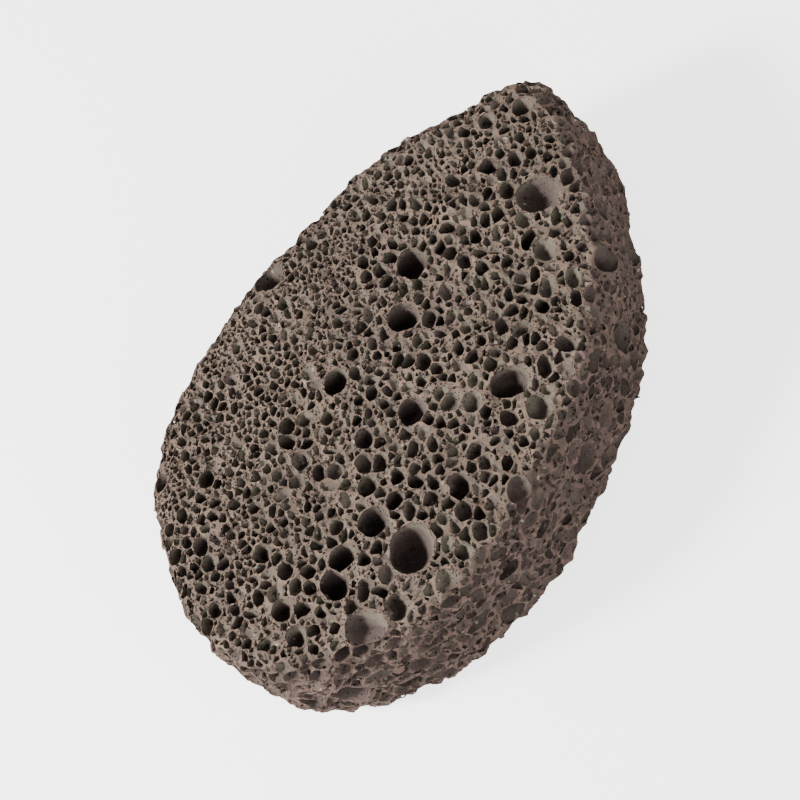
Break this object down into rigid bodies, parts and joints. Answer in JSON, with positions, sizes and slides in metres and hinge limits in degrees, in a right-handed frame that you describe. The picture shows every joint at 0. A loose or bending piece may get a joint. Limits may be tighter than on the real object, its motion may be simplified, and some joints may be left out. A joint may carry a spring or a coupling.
{
  "type": "pumice stone",
  "caption": "Teardrop slab of dark vesicular lava with flat faces, a rounded rim and open gas pits, used to rub hard skin from feet.",
  "frame": {"origin": "middle of the ground back face, on the surface the stone rests on", "axes": "+Y along the stone towards its pointed end, +Z out of the front face, +X to the right seen from the front with the point up"},
  "size_m": [0.0608, 0.0985, 0.0273],
  "materials": {
    "pumice": "dry, matt, brown-grey vesicular lava"
  },
  "bodies": {
    "root": {"pumice_stone": "pumice"}
  },
  "joints": []
}
